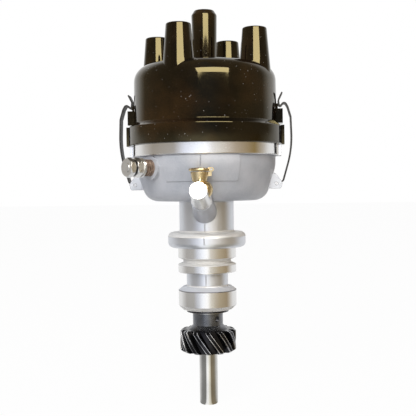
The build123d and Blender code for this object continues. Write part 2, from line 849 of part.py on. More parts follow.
def make_condenser_bracket():
    foot_top = plate_top + foot_thickness
    band = condenser_axis(ring(condenser_r + band_thickness, condenser_r, -band_width, 0))
    foot = on_plate(block(-band_width, 0, foot_end, condenser_y, plate_top, foot_top))
    foot -= condenser_axis(cylinder(condenser_r, condenser_start, condenser_end))
    return band + foot - at_condenser_screw(cylinder(screw_r, plate_top, foot_top))


def make_condenser_screw():
    return at_condenser_screw(Pos(0, 0, plate_top + foot_thickness) * screw(foot_thickness))


def make_condenser_lead():
    """Lead from the condenser's nose to a tag on the terminal strap."""
    tag_start = strap_start - strap_thickness
    tag_end_y = spring_end_y - air_gap
    tag_start_y = -strap_width / 2 - lead_r
    points = [
        (condenser_end + condenser_nose, condenser_y, condenser_z),
        (0.54 * cavity_r, -0.61 * cavity_r, arm_middle), (0.81 * cavity_r, -0.27 * cavity_r, arm_middle),
        (tag_start, tag_start_y + lead_r, arm_middle),
    ]
    path = Spline(*points, tangents=((1, 0, 0), (0.4, 1, 0)))
    wire = sweep(Plane(origin=path @ 0, z_dir=path % 0) * Circle(lead_r), path=path)
    half = 2 * lead_r
    tag = block(tag_start, strap_start, tag_start_y, tag_end_y, arm_middle - half, arm_middle + half)
    return on_plate(wire + tag)


def make_shaft():
    return turned([
        (0, shaft_bottom), (pilot_r, shaft_bottom, shaft_round), (pilot_r, gear_bottom),
        (shaft_r, gear_bottom), (shaft_r, advance_plate_bottom), (spindle_r, advance_plate_bottom),
        (spindle_r, spindle_top), (0, spindle_top),
    ]) - gear_pin_shape(gear_pin_half)


def gear_pin_shape(half):
    return Rot(0, 0, gear_pin_angle - 270) * along_y(gear_pin_r, 0, gear_pin_z, -half, half)


def gear_section():
    """Straight-sided teeth, a little long, so that the blank turns their tips."""
    pitch = 360 / gear_teeth
    long_r = gear_tip_r + edge
    corners = []
    for tooth in range(gear_teeth):
        for share, radius in ((-tooth_root_share, gear_root_r), (-tooth_tip_share, long_r),
                              (tooth_tip_share, long_r), (tooth_root_share, gear_root_r)):
            angle = radians((tooth + share / 2) * pitch)
            corners.append((radius * cos(angle), radius * sin(angle)))
    return outline(corners)


def make_drive_gear():
    teeth = Solid.extrude_linear_with_rotation(gear_section(), (0, 0, 0), (0, 0, gear_width), gear_twist)
    end_r = gear_tip_r - 1.5 * gear_bevel
    blank = turned([
        (0, gear_bottom), (end_r, gear_bottom), (gear_tip_r, gear_bottom + gear_bevel),
        (gear_tip_r, gear_top - gear_bevel), (end_r, gear_top), (0, gear_top),
    ])
    body = Pos(0, 0, gear_bottom) * teeth & blank
    foot_r = hub_r + hub_fillet
    body += turned([
        (0, gear_top - gear_bevel), (foot_r, gear_top - gear_bevel), (foot_r, gear_top),
        (hub_r, gear_top + hub_fillet), (hub_r, hub_top), (0, hub_top),
    ])
    body -= cylinder(shaft_r, gear_bottom, hub_top)
    return body - gear_pin_shape(hub_r + edge)


def make_advance_plate():
    pin_hole = cylinder(weight_pin_r, advance_plate_bottom, advance_plate_top)
    body = ring(advance_plate_r, spindle_r, advance_plate_bottom, advance_plate_top)
    body -= around(Pos(weight_pivot_x, 0, 0) * pin_hole, 2)
    return body


def make_weight_pins():
    pin = cylinder(weight_pin_r, advance_plate_bottom, yoke_bottom - air_gap)
    return around(Pos(weight_pivot_x, 0, 0) * pin, 2)


def make_weight():
    body = bar(weight_pivot_x, 0, *weight_elbow, weight_root_width, weight_bottom, weight_top)
    body += bar(*weight_elbow, *weight_tip, weight_tip_width, weight_bottom, weight_top)
    body -= Pos(weight_pivot_x, 0, 0) * cylinder(weight_pin_r + hinge_fit, weight_bottom, weight_top)
    return body + Pos(*weight_peg) * cylinder(weight_peg_r, weight_top - edge, yoke_top)


def peg_distance(swing):
    """Distance of a weight's peg from the shaft axis, the weight swung out by an angle."""
    pivot = Vector(weight_pivot_x, 0)
    peg = Vector(*weight_peg) - pivot
    return (pivot + peg.rotate(Axis.Z, -swing)).length


def yoke_post(shape):
    place = Vector(yoke_post_ring, 0).rotate(Axis.Z, yoke_post_angle)
    return Pos(place.X, place.Y, 0) * shape


def make_spring_posts():
    return around(Pos(*plate_post) * cylinder(spring_post_r, advance_plate_top, spring_post_top), 2)


def make_advance_springs():
    start = Vector(yoke_post_ring, 0).rotate(Axis.Z, yoke_post_angle)
    way = Vector(*plate_post) - start
    plane = Plane(origin=(start.X, start.Y, spring_z), z_dir=way.normalized())
    coil = plane * cylinder(spring_r, spring_post_r, way.length - spring_post_r)
    return around(coil, 2)


def cam_lobes():
    """Four-cornered cam: flats at the dwell radius, corners turned to the peak radius."""
    square = extrude(Rectangle(2 * cam_flat_r, 2 * cam_flat_r), amount=cam_top - cam_bottom)
    return Rot(0, 0, 45) * Pos(0, 0, cam_bottom) * square & cylinder(cam_peak_r, cam_bottom, cam_top)


def make_cam():
    body = cylinder(sleeve_r, yoke_bottom, sleeve_top)
    body += Rot(0, 0, terminal_angle) * cam_lobes()
    slot_start = peg_distance(0) - air_gap
    slot_end = peg_distance(weight_swing) + air_gap
    arm = bar(0, 0, slot_end, 0, yoke_arm_width, yoke_bottom, yoke_top)
    arm -= bar(slot_start, 0, slot_end, 0, 2 * (weight_peg_r + air_gap + run_fit), yoke_bottom, yoke_top)
    body += around(arm, 2, heading(*weight_peg))
    body += around(bar(0, 0, yoke_post_ring, 0, yoke_ear_width, yoke_bottom, yoke_top), 2, yoke_post_angle)
    body += around(yoke_post(cylinder(spring_post_r, yoke_bottom, spring_post_top)), 2)
    body -= cylinder(spindle_r + run_fit, yoke_bottom, sleeve_shoulder)
    return body - cylinder(felt_r, sleeve_shoulder, sleeve_top)


def make_cam_retainer():
    bottom = sleeve_shoulder + air_gap
    return ring(felt_r - air_gap, spindle_r, bottom, bottom + retainer_thickness)


def make_rotor():
    body = cylinder(rotor_r, rotor_bottom, rotor_top)
    body += bar(-rotor_r, 0, blade_tip - rotor_arm_width / 2, 0, rotor_arm_width, sleeve_top, rotor_top)
    return Rot(0, 0, rotor_angle) * (body - cylinder(sleeve_r, rotor_bottom, sleeve_top))


def make_rotor_blade():
    blade = block(-rotor_arm_width / 2, blade_tip, -blade_width / 2, blade_width / 2, rotor_top, blade_top)
    return Rot(0, 0, rotor_angle) * (blade & cylinder(blade_tip, rotor_top, blade_top))


def make_rotor_spring():
    """Leaf standing on the blade, its button just under the carbon."""
    foot_top = blade_top + contact_leaf
    top = blade_top + contact_leaf_rise
    toe_x = edge - rotor_arm_width / 2
    heel_x = toe_x / 3
    face = Plane.XZ * outline([
        (toe_x, blade_top), (heel_x, blade_top), (heel_x, foot_top), (toe_x + 2 * contact_leaf, foot_top),
        (button_r - edge, top - contact_leaf, edge), (button_r - edge, top), (-edge, top, edge),
        (toe_x, foot_top),
    ])
    return Rot(0, 0, rotor_angle) * extrude(face, amount=blade_width / 3, both=True)


def save(name, shapes):
    solids = []
    for shape in shapes if isinstance(shapes, list) else [shapes]:
        solids += shape.solids()
    export_step(Compound(children=solids), "parts/" + name + ".step")


os.makedirs("parts", exist_ok=True)

save("housing", make_housing())
save("upper_bushing", make_bushing(upper_bushing_bottom, cavity_floor))
save("lower_bushing", make_bushing(collar_bottom, lower_bushing_top))
front_stub = make_front_stub()
save("front_stub", front_stub)
save("oiler_body", make_oiler_body(front_stub))
save("oiler_lid", make_oiler_lid())
save("oiler_hinge_pin", make_oiler_pin())
save("clip_pins", make_clip_pins())
save("clip_right", make_clip())
save("clip_left", Rot(0, 0, 180) * make_clip())

save("cap", make_cap())
save("plug_terminals", make_plug_terminals())
save("center_terminal", cylinder(center_insert_r, center_insert_bottom, center_tower_top - socket_depth))
save("carbon_button", cylinder(button_r, button_bottom, center_insert_bottom))

save("terminal_insulator", make_insulator())
save("inner_insulator", make_terminal_ring(terminal_washer_r, inner_insulator_start, inner_insulator_face))
save("terminal_stud", make_stud())
save("primary_strap", make_primary_strap())
save("terminal_washer", make_terminal_ring(terminal_washer_r, insulator_end, terminal_washer_end))
save("terminal_inner_nut", make_terminal_nut(terminal_washer_end, inner_nut_end))
save("terminal_lock_washer", make_terminal_ring(lock_washer_r, inner_nut_end, lock_washer_end))
save("terminal_outer_nut", make_terminal_nut(lock_washer_end, outer_nut_end))

save("breaker_plate", make_breaker_plate())
save("breaker_plate_screws", make_breaker_plate_screws())
save("breaker_pivot", make_breaker_pivot())
save("breaker_arm", make_breaker_arm())
save("rubbing_block", make_rubbing_block())
save("moving_contact", make_contact_point(arm_front - contact_depth))
save("fixed_contact_point", make_contact_point(fixed_face))
save("fixed_contact", make_fixed_contact())
save("contact_screw", make_contact_screw())
save("breaker_spring", make_breaker_spring())
save("condenser", make_condenser())
save("condenser_bracket", make_condenser_bracket())
save("condenser_screw", make_condenser_screw())
save("condenser_lead", make_condenser_lead())

save("shaft", make_shaft())
save("drive_gear", make_drive_gear())
save("gear_pin", gear_pin_shape(gear_pin_half))
save("thrust_washer", ring(thrust_washer_r, shaft_r, thrust_washer_bottom, thrust_washer_top))
save("shim_washer", ring(shim_r, shaft_r, hub_top, thrust_washer_bottom))
save("advance_plate", make_advance_plate())
save("weight_pins", make_weight_pins())
save("spring_posts", make_spring_posts())
save("advance_springs", make_advance_springs())
save("cam_retainer", make_cam_retainer())
save("weight_a", make_weight())
save("weight_b", Rot(0, 0, 180) * make_weight())

save("cam", make_cam())
save("cam_felt", cylinder(felt_r, spindle_top + air_gap, sleeve_top))
save("rotor", make_rotor())
save("rotor_blade", make_rotor_blade())
save("rotor_spring", make_rotor_spring())
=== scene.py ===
import math
import bpy
import bmesh
from mathutils import Matrix, Vector


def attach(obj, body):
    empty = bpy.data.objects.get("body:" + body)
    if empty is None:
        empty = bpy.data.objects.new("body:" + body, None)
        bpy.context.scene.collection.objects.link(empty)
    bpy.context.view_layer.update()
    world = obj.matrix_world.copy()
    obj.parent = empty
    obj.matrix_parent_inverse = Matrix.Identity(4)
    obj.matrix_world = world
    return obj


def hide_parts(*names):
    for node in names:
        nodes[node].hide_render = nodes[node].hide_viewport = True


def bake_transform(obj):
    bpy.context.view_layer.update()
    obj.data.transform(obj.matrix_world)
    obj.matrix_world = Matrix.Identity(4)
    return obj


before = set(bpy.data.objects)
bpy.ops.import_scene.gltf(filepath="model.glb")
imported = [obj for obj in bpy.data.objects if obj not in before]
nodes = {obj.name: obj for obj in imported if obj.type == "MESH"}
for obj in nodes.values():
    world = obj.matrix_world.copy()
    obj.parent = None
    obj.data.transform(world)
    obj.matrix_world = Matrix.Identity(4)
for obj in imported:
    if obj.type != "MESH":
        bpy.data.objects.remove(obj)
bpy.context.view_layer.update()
scene = bpy.context.scene
scene.view_settings.view_transform = "Standard"
mm = 0.001

# Camera, as fitted to the photograph: a square picture, focal length in picture widths
camera_distance = 427 * mm
camera_azimuth = 4.0
camera_height = 31 * mm
camera_pitch = 1.32
camera_yaw = 0.11
camera_roll = -0.75
focal_share = 780 / 416
sensor_width = 36

# Stage
floor_height = -86.35 * mm
floor_half = 6.0
floor_white_share = 0.97
key_distance = 0.8
key_azimuth = 17.0
key_elevation = 24.95
key_target_height = 100 * mm
key_width = 0.71
key_height = 0.430
key_power = 13.0
key_color = (1.0, 0.95, 0.86)
front_distance = 1.3
front_azimuth = -9.0
front_elevation = 28.0
front_size = 0.9
front_power = 17.5
front_color = (1.0, 1.0, 0.99)
cool_fill = (0.28, 0.33, 0.43)
warm_fill = (0.29, 0.20, 0.09)
fill_reach = 0.7
horizon_top = 0.070
horizon_soft = 0.004
backdrop_from = 0.3
backdrop_full = 0.6
near_reach = 0.25
far_reach = 0.40

# What polished faces find around the object, by degrees from straight in front, left to right
near_floor = ((-120, (0.95, 0.95, 0.95)), (-80, (0.36, 0.36, 0.36)), (-29, (0.30, 0.30, 0.29)),
              (-19, (1.45, 1.47, 1.5)), (2, (1.5, 1.5, 1.48)), (8, (1.25, 1.22, 1.08)),
              (24, (1.0, 0.95, 0.80)), (34, (0.32, 0.26, 0.17)), (80, (0.34, 0.30, 0.22)),
              (120, (0.95, 0.95, 0.95)))
far_floor = ((-120, (0.95, 0.95, 0.95)), (-85, (0.52, 0.50, 0.48)), (-50, (0.55, 0.54, 0.52)),
             (-35, (0.80, 0.83, 0.92)), (-14, (1.2, 1.24, 1.32)), (4, (1.36, 1.36, 1.36)),
             (18, (0.80, 0.75, 0.66)), (50, (0.56, 0.47, 0.33)), (85, (0.42, 0.33, 0.21)),
             (120, (0.95, 0.95, 0.95)))
horizon = ((-120, (0.95, 0.95, 0.95)), (-85, (0.46, 0.42, 0.37)), (-45, (0.58, 0.56, 0.54)),
           (-28, (1.38, 1.46, 1.70)), (-10, (1.75, 1.84, 2.05)), (4, (1.90, 1.93, 2.05)),
           (16, (1.25, 1.22, 1.18)), (50, (0.62, 0.52, 0.40)), (85, (0.32, 0.21, 0.05)),
           (120, (0.95, 0.95, 0.95)))
room = ((-120, (0.30, 0.25, 0.18)), (-60, (0.30, 0.24, 0.16)), (-25, (0.22, 0.18, 0.14)),
        (-6, (0.17, 0.185, 0.24)), (14, (0.17, 0.185, 0.24)), (30, (0.24, 0.19, 0.14)),
        (60, (0.30, 0.24, 0.16)), (120, (0.30, 0.25, 0.18)))

# Casting: heights, radii and the distance to the side where its finish changes
ring_foot = 49.2 * mm
ring_r = 39.0 * mm
land_heights = (-13.7 * mm, -0.1 * mm)
collar_heights = (-31.7 * mm, -23.4 * mm)
# Heights of a painted shadow line at the step between the cast slope and the machined collar
collar_shadow_line_heights = (-23.6 * mm, -23.15 * mm)
head_heights = (-23.3 * mm, -21.2 * mm)
slope_heights = ((-23.4 * mm, -20.5 * mm), (-9.5 * mm, -5.6 * mm), (5.9 * mm, 9.3 * mm))
foot_slope_top = -31.75 * mm
boss_bottom = 9.2 * mm
smooth_top = 25 * mm
neck_r = 15.4 * mm
ear_top = 41.5 * mm
ear_reach = 34.9 * mm

# Gear teeth as the part has them: number, foot, turns per metre of width, radii; then where painted
# highlight lines run along the crests, in pitches from the middle of a tooth
gear_teeth = 13
gear_bottom = -56.95 * mm
gear_helix = 32.5 / 360 / (12 * mm)
tooth_foot_r = 10.0 * mm
crest_r = 13.65 * mm
glint_from = 0.135
glint_to = 0.185
glint_soft = 0.012

# Advance springs: the posts that hold one spring, at the height of its axis, then its wire and coil
yoke_post = Vector((8.55 * mm, -9.83 * mm, 42.05 * mm))
plate_post = Vector((21.04 * mm, -9.52 * mm, 42.05 * mm))
hook_r = 1.52 * mm
hook_arc = math.radians(300)
hook_steps = 16
coil_r = 1.1 * mm
coil_turns = 10
coil_steps = 20
wire_r = 0.3 * mm
wire_sides = 8

# Parting line of the casting: half width, height, depth below the skin and the heights where it shows
seam_half_width = 0.28 * mm
seam_rise = 0.22 * mm
seam_sink = 0.022 * mm
seam_step = 0.5 * mm
seam_heights = ((-20.5 * mm, -14.5 * mm), (2.2 * mm, 6.0 * mm), (9.2 * mm, 13.0 * mm), (43.5 * mm, 48.6 * mm))


def node(tree, kind, **inputs):
    """Adds a shader node with the given values on its sockets."""
    made = tree.nodes.new(kind)
    for name, value in inputs.items():
        made.inputs[name].default_value = value
    return made


def feed(tree, value, socket):
    """Puts a number, a colour or another node's output on a socket."""
    if isinstance(value, tuple):
        socket.default_value = (*value, 1)
    elif isinstance(value, (int, float)):
        socket.default_value = value
    else:
        tree.links.new(value, socket)


def math_node(tree, kind, a, b=None):
    made = tree.nodes.new("ShaderNodeMath")
    made.operation = kind
    feed(tree, a, made.inputs[0])
    if b is not None:
        feed(tree, b, made.inputs[1])
    return made.outputs["Value"]


def ramp_node(tree, value, low, high, a=0, b=1):
    """Maps value from low..high to a..b, held at the ends."""
    made = tree.nodes.new("ShaderNodeMapRange")
    for i, number in enumerate((value, low, high, a, b)):
        feed(tree, number, made.inputs[i])
    return made.outputs["Result"]


def mix_colors(tree, factor, a, b):
    made = tree.nodes.new("ShaderNodeMix")
    made.data_type = "RGBA"
    feed(tree, factor, made.inputs["Factor"])
    feed(tree, a, made.inputs[6])
    feed(tree, b, made.inputs[7])
    return made.outputs[2]


def split_axes(tree, place):
    made = tree.nodes.new("ShaderNodeSeparateXYZ")
    tree.links.new(place, made.inputs["Vector"])
    return made.outputs


class Shader:
    """A material with one principled surface and short calls for its procedural parts."""

    def __init__(self, name, color, metallic, roughness, specular=0.5):
        self.material = bpy.data.materials.new(name)
        self.material.use_nodes = True
        self.tree = self.material.node_tree
        self.surface = self.tree.nodes["Principled BSDF"]
        self.surface.inputs["Base Color"].default_value = (*color, 1)
        self.surface.inputs["Metallic"].default_value = metallic
        self.surface.inputs["Roughness"].default_value = roughness
        self.surface.inputs["Specular IOR Level"].default_value = specular
        self.place = self.tree.nodes.new("ShaderNodeTexCoord").outputs["Object"]
        self.normals = []

    def link(self, a, b):
        self.tree.links.new(a, b)

    def noise(self, scale, detail=3.0, roughness=0.55, stretch=None):
        made = node(self.tree, "ShaderNodeTexNoise", Scale=scale, Detail=detail, Roughness=roughness)
        place = self.place
        if stretch:
            mapping = node(self.tree, "ShaderNodeMapping", Scale=stretch)
            self.link(place, mapping.inputs["Vector"])
            place = mapping.outputs["Vector"]
        self.link(place, made.inputs["Vector"])
        return made.outputs["Fac"]

    def cells(self, scale):
        made = node(self.tree, "ShaderNodeTexVoronoi", Scale=scale)
        self.link(self.place, made.inputs["Vector"])
        return made.outputs["Distance"]

    def ramp(self, value, low, high, a, b):
        return ramp_node(self.tree, value, low, high, a, b)

    def math(self, kind, a, b=None):
        return math_node(self.tree, kind, a, b)

    def mix(self, factor, a, b):
        return mix_colors(self.tree, factor, a, b)

    def axis(self, which):
        return split_axes(self.tree, self.place)[which]

    def radius(self):
        x = self.axis("X")
        y = self.axis("Y")
        return self.math("SQRT", self.math("ADD", self.math("MULTIPLY", x, x), self.math("MULTIPLY", y, y)))

    def color(self, value):
        self.link(value, self.surface.inputs["Base Color"])

    def roughness(self, value):
        self.link(value, self.surface.inputs["Roughness"])

    def metallic(self, value):
        self.link(value, self.surface.inputs["Metallic"])

    def soften(self, radius):
        """Rounds the look of sharp edges."""
        made = node(self.tree, "ShaderNodeBevel", Radius=radius)
        self.normals.append(made.outputs["Normal"])
        self.link(made.outputs["Normal"], self.surface.inputs["Normal"])

    def edges(self, radius):
        """1 on sharp edges, 0 on flat faces."""
        rounded = node(self.tree, "ShaderNodeBevel", Radius=radius)
        rounded.samples = 8
        flat = self.tree.nodes.new("ShaderNodeNewGeometry")
        dot = self.tree.nodes.new("ShaderNodeVectorMath")
        dot.operation = "DOT_PRODUCT"
        self.link(rounded.outputs["Normal"], dot.inputs[0])
        self.link(flat.outputs["True Normal"], dot.inputs[1])
        return self.ramp(dot.outputs["Value"], 0.97, 0.85, 0, 1)

    def corner_shade(self, distance):
        """Mask for painted shade from ambient occlusion: 0 deep in inner corners, 1 on open faces."""
        made = node(self.tree, "ShaderNodeAmbientOcclusion", Distance=distance)
        made.samples = 8
        return self.ramp(made.outputs["AO"], 0.2, 0.6, 0, 1)

    def bump(self, height, distance, strength=1.0):
        made = node(self.tree, "ShaderNodeBump", Strength=strength, Distance=distance)
        self.link(height, made.inputs["Height"])
        if self.normals:
            self.link(self.normals[-1], made.inputs["Normal"])
        self.normals.append(made.outputs["Normal"])
        self.link(made.outputs["Normal"], self.surface.inputs["Normal"])


def past(shader, value, edge, soft=0.2 * mm):
    """1 where value is more than an edge, with a soft step."""
    return shader.ramp(value, edge - soft, edge + soft, 0, 1)


def short_of(shader, value, edge, soft=0.2 * mm):
    """1 where value is less than an edge, with a soft step."""
    return shader.ramp(value, edge - soft, edge + soft, 1, 0)


def between(shader, value, low, high, soft=0.15 * mm):
    """1 where value lies between low and high, with soft ends."""
    return shader.math("MULTIPLY", past(shader, value, low, soft), short_of(shader, value, high, soft))


def cast_aluminium():
    """Die-cast skin, smoother below the bowl, turned bright where the casting is machined."""
    s = Shader("cast_aluminium", (0.5, 0.51, 0.54), 0.5, 0.4)
    s.soften(0.25 * mm)
    height = s.axis("Z")
    radius = s.radius()
    side = s.math("ABSOLUTE", s.axis("X"))
    ring = s.math("MULTIPLY", past(s, height, ring_foot), past(s, radius, ring_r))
    lands = between(s, height, *land_heights)
    collar = between(s, height, *collar_heights)
    slopes = short_of(s, height, foot_slope_top, 0.15 * mm)
    for heights in slope_heights:
        slopes = s.math("MAXIMUM", slopes, between(s, height, *heights))
    cylinders = s.math("MAXIMUM", ring, s.math("MAXIMUM", lands, collar))
    turned = s.math("SUBTRACT", cylinders, s.math("MULTIPLY", cylinders, slopes))
    boss = s.math("MULTIPLY", past(s, height, boss_bottom), past(s, radius, neck_r))
    low = s.math("MULTIPLY", short_of(s, height, smooth_top, 1.0 * mm), s.ramp(boss, 0, 1, 1, 0))
    smooth = s.math("MULTIPLY", low, s.ramp(s.math("MAXIMUM", turned, slopes), 0, 1, 1, 0))
    cloud = s.noise(60, 4)
    grain = s.noise(1500, 2)
    pits = s.ramp(s.cells(260), 0.02, 0.09, 1, 0)
    rare = s.ramp(s.noise(40, 2), 0.56, 0.62, 0, 1)
    skin = s.mix(s.ramp(cloud, 0.35, 0.7, 0, 1), (0.34, 0.358, 0.398), (0.47, 0.482, 0.515))
    skin = s.mix(s.ramp(grain, 0.3, 0.7, 0, 0.3), skin, (0.52, 0.53, 0.56))
    skin = s.mix(smooth, skin, (0.62, 0.64, 0.68))
    skin = s.mix(s.math("MULTIPLY", pits, rare), skin, (0.20, 0.20, 0.21))
    ears = s.math("MULTIPLY", past(s, side, ear_reach, 0.3 * mm), short_of(s, height, ear_top, 0.5 * mm))
    skin = s.mix(ears, skin, (0.56, 0.58, 0.62))
    # Painted shade: a dark outline along the edges of the ears.
    skin = s.mix(s.math("MULTIPLY", s.edges(0.6 * mm), ears), skin, (0.12, 0.12, 0.13))
    bright = s.mix(s.noise(25, 2), (0.70, 0.69, 0.67), (0.76, 0.76, 0.76))
    head = between(s, height, *head_heights)
    matte = s.mix(head, (0.66, 0.65, 0.63), (0.56, 0.575, 0.61))
    surface = s.mix(turned, s.mix(slopes, skin, matte), bright)
    # Painted shadow: a thin dark line at the step between the cast slope and the machined collar.
    collar_shadow_line = between(s, height, *collar_shadow_line_heights, 0.08 * mm)
    surface = s.mix(collar_shadow_line, surface, (0.16, 0.16, 0.17))
    # Painted shade: inner corners and creases of the casting darkened by ambient occlusion.
    s.color(s.mix(s.corner_shade(1.2 * mm), (0.14, 0.135, 0.13), surface))
    gloss = s.math("ADD", s.ramp(smooth, 0, 1, 0, 0.13), s.ramp(turned, 0, 1, 0, 0.31))
    s.roughness(s.ramp(gloss, 0, 0.45, 0.45, 0))
    s.metallic(s.math("MAXIMUM", turned, s.ramp(smooth, 0, 1, 0.1, 0.85)))
    s.bump(s.math("MULTIPLY", grain, s.ramp(turned, 0, 1, 1, 0)), 0.05 * mm, 0.4)
    rings = s.noise(1, 1, stretch=(1, 1, 4000))
    s.bump(s.math("MULTIPLY", rings, turned), 0.01 * mm, 0.08)
    return s.material


def phenolic():
    """Glossy brown-black moulding with faint smears and dust."""
    s = Shader("phenolic", (0.006, 0.004, 0.0025), 0.0, 0.06)
    s.surface.inputs["Specular Tint"].default_value = (1.0, 0.85, 0.44, 1)
    smear = s.noise(45, 4)
    patch = s.noise(28, 3)
    dust = s.ramp(s.cells(430), 0.08, 0.13, 1, 0)
    rare = s.ramp(s.noise(60, 2), 0.44, 0.52, 0, 1)
    strength = s.ramp(s.noise(180, 1), 0.35, 0.65, 0.05, 0.45)
    specks = s.math("MULTIPLY", s.math("MULTIPLY", dust, rare), strength)
    base = s.mix(s.ramp(smear, 0.4, 0.7, 0, 1), (0.0025, 0.002, 0.002), (0.012, 0.008, 0.004))
    base = s.mix(s.ramp(patch, 0.5, 0.66, 0, 0.8), base, (0.024, 0.012, 0.005))
    s.color(s.mix(specks, base, (0.42, 0.42, 0.42)))
    s.roughness(s.math("ADD", s.ramp(smear, 0.3, 0.8, 0.04, 0.08), s.math("MULTIPLY", specks, 0.4)))
    s.bump(s.noise(160, 2), 0.02 * mm, 0.25)
    return s.material


def steel(name, color, rough_low, rough_high, stretch=None, scale=700):
    s = Shader(name, color, 1.0, rough_low)
    lines = s.noise(scale, 2, stretch=stretch)
    stain = s.noise(70, 3)
    darker = tuple(0.72 * c for c in color)
    s.color(s.mix(s.ramp(stain, 0.35, 0.75, 0, 1), color, darker))
    s.roughness(s.ramp(lines, 0.3, 0.7, rough_low, rough_high))
    s.bump(lines, 0.01 * mm, 0.5)
    return s.material


def dark_steel():
    """Blackened steel, oily."""
    s = Shader("dark_steel", (0.05, 0.05, 0.055), 0.9, 0.3)
    cloud = s.noise(160, 4)
    s.color(s.mix(s.ramp(cloud, 0.35, 0.7, 0, 1), (0.035, 0.036, 0.041), (0.10, 0.10, 0.105)))
    s.roughness(s.ramp(s.noise(900, 2), 0.3, 0.7, 0.2, 0.36))
    s.bump(s.noise(1400, 2), 0.02 * mm, 0.5)
    return s.material


def gear_steel():
    """Dark gear: grey hub, black oily teeth with painted highlight lines along the crest edges, following
    their helix.
    """
    s = Shader("gear_steel", (0.1, 0.1, 0.105), 0.9, 0.3)
    radius = s.radius()
    teeth = past(s, radius, tooth_foot_r, 1.0 * mm)
    crests = past(s, radius, crest_r, 0.25 * mm)
    around = s.math("MULTIPLY", s.math("ARCTAN2", s.axis("Y"), s.axis("X")), gear_teeth / math.tau)
    climb = s.math("MULTIPLY", s.math("SUBTRACT", s.axis("Z"), gear_bottom), gear_teeth * gear_helix)
    phase = s.math("FRACT", s.math("ADD", s.math("ADD", around, climb), 0.5))
    from_middle = s.math("ABSOLUTE", s.math("SUBTRACT", phase, 0.5))
    # Painted highlight: bright lines along the crest edges of the teeth, dimmed at random.
    line = between(s, from_middle, glint_from, glint_to, glint_soft)
    cloud = s.ramp(s.noise(160, 4), 0.35, 0.7, 0, 1)
    hub = s.mix(cloud, (0.10, 0.105, 0.118), (0.20, 0.205, 0.22))
    black = s.mix(cloud, (0.010, 0.010, 0.013), (0.026, 0.025, 0.028))
    crest_glint = s.math("MULTIPLY", line, s.ramp(s.noise(70, 2), 0.35, 0.6, 0.25, 1.0))
    s.color(s.mix(s.math("MULTIPLY", crest_glint, crests), s.mix(teeth, hub, black), (0.85, 0.86, 0.9)))
    s.roughness(s.ramp(s.noise(900, 2), 0.3, 0.7, 0.2, 0.32))
    s.bump(s.noise(1400, 2), 0.01 * mm, 0.4)
    return s.material


def brown_insulator():
    s = Shader("brown_insulator", (0.16, 0.085, 0.045), 0.0, 0.45)
    grain = s.noise(500, 3)
    s.color(s.mix(s.ramp(grain, 0.3, 0.7, 0, 1), (0.13, 0.085, 0.06), (0.30, 0.21, 0.15)))
    s.bump(grain, 0.05 * mm, 0.4)
    return s.material


def plain(name, color, roughness, grain_scale=600, specular=0.5):
    """Matte surface with fine grain."""
    s = Shader(name, color, 0.0, roughness, specular)
    grain = s.noise(grain_scale, 3)
    lighter = tuple(min(1.0, 1.5 * c) for c in color)
    s.color(s.mix(s.ramp(grain, 0.35, 0.7, 0, 1), color, lighter))
    s.bump(grain, 0.05 * mm, 0.4)
    return s.material


def light_path(tree, *names):
    """1 for the named kinds of rays."""
    path = tree.nodes.new("ShaderNodeLightPath")
    total = path.outputs[names[0]]
    for name in names[1:]:
        total = math_node(tree, "MAXIMUM", total, path.outputs[name])
    return total


def mix_shaders(tree, factor, a, b):
    made = tree.nodes.new("ShaderNodeMixShader")
    tree.links.new(factor, made.inputs["Fac"])
    tree.links.new(a.outputs[0], made.inputs[1])
    tree.links.new(b.outputs[0], made.inputs[2])
    return made


def colors_around(tree, place, stops):
    """Colours by the bearing of a place or direction: stops of (degrees right of -Y, colour)."""
    axes = split_axes(tree, place)
    angle = math_node(tree, "ARCTAN2", axes["X"], math_node(tree, "MULTIPLY", axes["Y"], -1.0))
    colors = tree.nodes.new("ShaderNodeValToRGB")
    ramp = colors.color_ramp
    while len(ramp.elements) < len(stops):
        ramp.elements.new(0.5)
    for element, (degrees, color) in zip(ramp.elements, stops):
        element.position = degrees / 360 + 0.5
        element.color = (*color, 1)
    tree.links.new(ramp_node(tree, angle, -math.pi, math.pi), colors.inputs["Fac"])
    return colors.outputs["Color"]


def make_world():
    """White to the camera; reflections find a white backdrop, a band at the horizon and a dim warm room."""
    world = bpy.data.worlds.new("studio")
    scene.world = world
    world.use_nodes = True
    tree = world.node_tree
    tree.nodes.clear()
    place = tree.nodes.new("ShaderNodeTexCoord").outputs["Generated"]
    axes = split_axes(tree, place)
    low = ramp_node(tree, axes["Z"], horizon_top + horizon_soft, horizon_top - horizon_soft)
    around = mix_colors(tree, low, colors_around(tree, place, room), colors_around(tree, place, horizon))
    behind = ramp_node(tree, axes["Y"], backdrop_from, backdrop_full)
    mirrored = tree.nodes.new("ShaderNodeBackground")
    tree.links.new(mix_colors(tree, behind, around, (1.0, 1.0, 1.0)), mirrored.inputs["Color"])
    fill = tree.nodes.new("ShaderNodeBackground")
    side = ramp_node(tree, axes["X"], -fill_reach, fill_reach)
    tree.links.new(mix_colors(tree, side, cool_fill, warm_fill), fill.inputs["Color"])
    white = node(tree, "ShaderNodeBackground", Color=(1, 1, 1, 1), Strength=1.0)
    lit = mix_shaders(tree, light_path(tree, "Is Glossy Ray", "Is Transmission Ray"), fill, mirrored)
    seen = mix_shaders(tree, light_path(tree, "Is Camera Ray"), lit, white)
    out = tree.nodes.new("ShaderNodeOutputWorld")
    tree.links.new(seen.outputs["Shader"], out.inputs["Surface"])


def floor_glow_colors(tree):
    """What reflections find on the floor, close to the object and further off: colours the floor glows in for
    glossy rays only, painted reflections.
    """
    place = tree.nodes.new("ShaderNodeNewGeometry").outputs["Position"]
    distance = tree.nodes.new("ShaderNodeVectorMath")
    distance.operation = "LENGTH"
    tree.links.new(place, distance.inputs[0])
    far = ramp_node(tree, distance.outputs["Value"], near_reach, far_reach)
    near_colors = colors_around(tree, place, near_floor)
    far_colors = colors_around(tree, place, far_floor)
    return mix_colors(tree, far, near_colors, far_colors)


